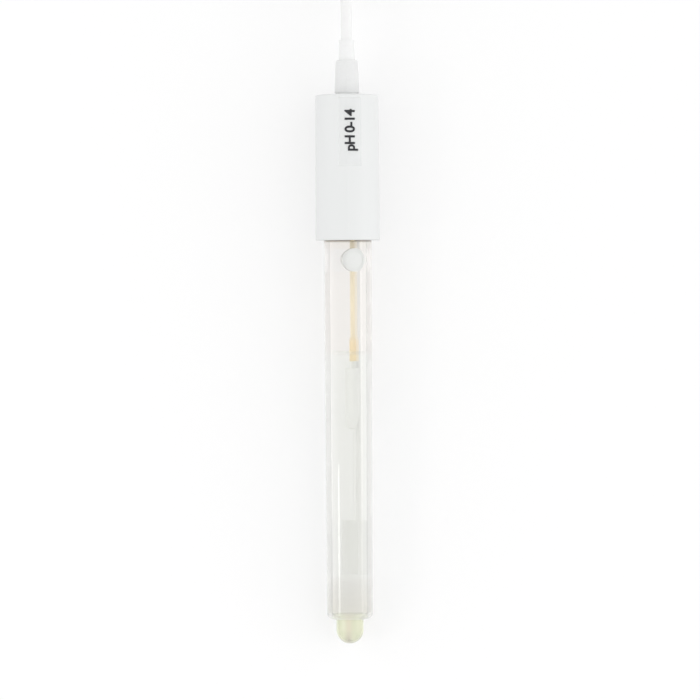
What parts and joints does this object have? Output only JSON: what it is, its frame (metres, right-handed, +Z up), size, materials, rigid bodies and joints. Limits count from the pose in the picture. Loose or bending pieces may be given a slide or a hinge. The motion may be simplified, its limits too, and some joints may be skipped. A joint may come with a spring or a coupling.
{
  "type": "ph electrode",
  "caption": "Combination pH electrode: a clear tube with a glass bulb, a white cap and strain relief, and a lead tied in a hank that ends in a bayonet plug.",
  "frame": {"origin": "on the bench, under the middle of the electrode, which lies on its cap's rim and its tube's end", "axes": "+Y along the electrode from the bulb to the strain relief, +Z up, +X to its right seen from above"},
  "size_m": [0.0252, 0.2657, 0.0168],
  "materials": {
    "body_plastic": "clear, faintly milky moulding",
    "cap_plastic": "white satin moulding",
    "relief_plastic": "white soft moulding",
    "label_film": "clear film",
    "plug_silicone": "white soft plug",
    "stem_glass": "clear glass, yellow-green at the bulb",
    "buffer_gel": "clear gel",
    "amber_sleeve": "amber varnish",
    "silver_chloride": "dull grey coating",
    "silver_wire": "drawn wire",
    "porous_ceramic": "unglazed",
    "seal_rubber": "pale rubber",
    "potting_resin": "cast resin",
    "cable_jacket": "white satin jacket",
    "tie_nylon": "natural nylon",
    "plated_brass": "nickel plated",
    "plug_insulator": "white",
    "gold_pin": "gold plated",
    "gasket_silicone": "red-brown silicone"
  },
  "bodies": {
    "electrode": {"body_tube": "body_plastic", "cap": "cap_plastic", "strain_relief": "relief_plastic", "label_film": "label_film", "fill_plug": "plug_silicone", "glass_stem": "stem_glass", "buffer_gel": "buffer_gel", "inner_lead": "amber_sleeve", "inner_element": "silver_chloride", "reference_lead": "silver_wire", "reference_strip": "silver_chloride", "junction_ring": "porous_ceramic", "stem_stopper": "seal_rubber", "chamber_seal": "seal_rubber", "cap_potting": "potting_resin", "cable": "cable_jacket", "cable_coil": "cable_jacket", "cable_tail": "cable_jacket", "cable_tie": "tie_nylon", "plug_boot": "relief_plastic", "crimp_ferrule": "plated_brass", "back_body": "plated_brass", "contact_sleeve": "plated_brass", "plug_insulator": "plug_insulator", "centre_pin": "gold_pin", "plug_gasket": "gasket_silicone", "spring_washer": "plated_brass"},
    "ring": {"coupling_ring": "plated_brass"}
  },
  "joints": [
    {"name": "ring_turn", "type": "hinge", "parent": "electrode", "child": "ring", "pos_m": [-0.0008, 0.178, 0.0072], "axis": [0, 1, 0], "continuous": true}
  ]
}
